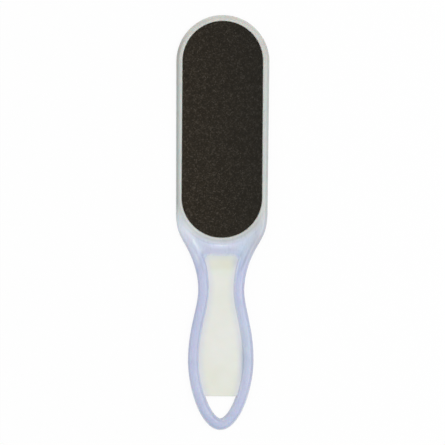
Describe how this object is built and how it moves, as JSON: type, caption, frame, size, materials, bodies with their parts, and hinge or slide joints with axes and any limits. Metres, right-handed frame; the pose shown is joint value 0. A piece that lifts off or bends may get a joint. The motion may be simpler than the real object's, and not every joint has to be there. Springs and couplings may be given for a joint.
{
  "type": "foot file",
  "caption": "Flat two-sided foot file: a long round-ended paddle with an abrasive pad on each face and a waisted open handle that ends in a hang loop.",
  "frame": {"origin": "bottom centre of the part's box, as it lies on its back abrasive face", "axes": "+Y along the length towards the head, +Z out of the front abrasive face, +X to the right seen from the front"},
  "size_m": [0.0584, 0.26, 0.0064],
  "materials": {
    "core_plastic": "satin off-white moulding with a fine frosted texture",
    "frame_plastic": "polished translucent plastic, pale lavender, greyer round the head",
    "adhesive_film": "thin clear amber transfer film",
    "coarse_abrasive": "coarse brown-black grit bonded to a fibre backing",
    "fine_abrasive": "finer brown-black grit bonded to a fibre backing"
  },
  "bodies": {
    "root": {"core_plate": "core_plastic", "grip_frame": "frame_plastic", "front_adhesive": "adhesive_film", "back_adhesive": "adhesive_film", "front_abrasive": "coarse_abrasive", "back_abrasive": "fine_abrasive"}
  },
  "joints": []
}
